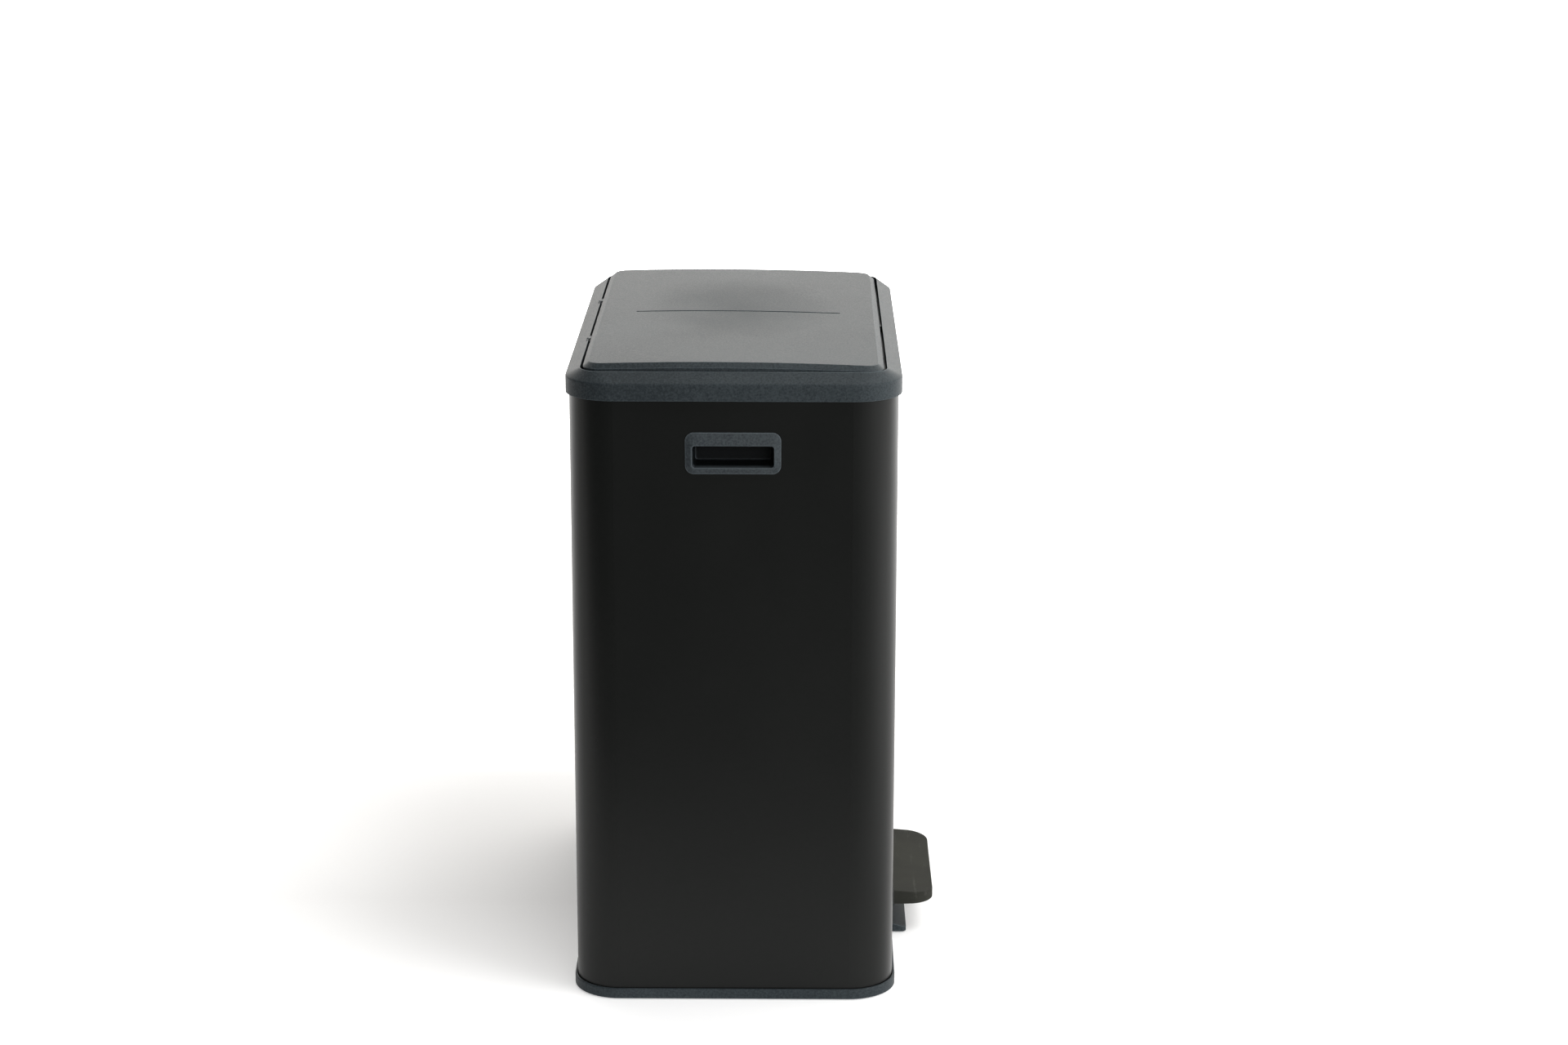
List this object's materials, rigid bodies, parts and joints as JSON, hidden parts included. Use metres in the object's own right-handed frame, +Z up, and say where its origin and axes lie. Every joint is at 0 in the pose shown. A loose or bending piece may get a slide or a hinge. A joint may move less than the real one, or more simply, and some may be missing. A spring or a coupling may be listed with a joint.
{
  "type": "pedal trash can",
  "caption": "Rectangular pedal bin with a steel body, domed hinged lid in a bevelled collar, recessed side handles, front pedal with lift rod and damper, and lift-out inner buckets.",
  "frame": {"origin": "centre of the footprint's bounding box, on the floor under the feet", "axes": "+Z up, -Y towards the front where the pedal is, +X to the right of someone facing the back from the pedal side"},
  "size_m": [0.547, 0.382, 0.6735],
  "materials": {
    "body_steel": "matt black powder coat",
    "trim_plastic": "fine-grained slate black moulding",
    "pedal_steel": "satin dark grey coating",
    "plain_steel": "zinc plated",
    "damper_metal": "satin",
    "inner_plastic": "plain black moulding",
    "bucket_plastic": "dark grey satin moulding",
    "soft_rubber": "matt black"
  },
  "bodies": {
    "bin_body": {"base_tray": "trim_plastic", "foot_pads": "soft_rubber", "body_shell": "body_steel", "lever_grommet": "trim_plastic", "handle_cup_left": "trim_plastic", "handle_cup_right": "trim_plastic", "top_collar": "trim_plastic", "lid_buffers": "soft_rubber", "rod_guides": "inner_plastic", "wall_rivets": "body_steel", "damper_cylinder": "damper_metal", "damper_cap": "inner_plastic", "damper_bracket": "inner_plastic"},
    "lid": {"lid_shell": "trim_plastic", "lid_liner": "inner_plastic", "lid_screws": "plain_steel", "lid_crank": "inner_plastic", "crank_screws": "plain_steel", "hinge_pins": "plain_steel"},
    "pedal": {"pedal_tread": "pedal_steel", "pedal_lever": "plain_steel", "pedal_axle": "plain_steel", "axle_clips": "plain_steel"},
    "lift_rod": {"push_rod": "plain_steel", "rod_nuts": "plain_steel", "damper_piston": "damper_metal", "damper_yoke": "inner_plastic"},
    "left_bucket": {"bucket_left": "bucket_plastic"},
    "right_bucket": {"bucket_right": "bucket_plastic"}
  },
  "joints": [
    {"name": "lid_open", "type": "hinge", "parent": "bin_body", "child": "lid", "pos_m": [0, 0.1738, 0.6628], "axis": [-1, 0, 0], "range_deg": [0, 80]},
    {"name": "pedal_press", "type": "hinge", "parent": "bin_body", "child": "pedal", "pos_m": [0, -0.04745, 0.043], "axis": [1, 0, 0], "range_deg": [0, 10.02]},
    {"name": "rod_lift", "type": "slide", "parent": "bin_body", "child": "lift_rod", "axis": [0, 0, 1], "range_m": [0, 0.0349]},
    {"name": "left_bucket_lift", "type": "slide", "parent": "bin_body", "child": "left_bucket", "axis": [0, 0, 1], "range_m": [0, 0.03]},
    {"name": "right_bucket_lift", "type": "slide", "parent": "bin_body", "child": "right_bucket", "axis": [0, 0, 1], "range_m": [0, 0.03]}
  ],
  "couplings": [
    {"joint": "pedal_press", "follows": "lid_open", "ratio": 0.125},
    {"joint": "rod_lift", "follows": "lid_open", "m_per_rad": 0.02497}
  ]
}
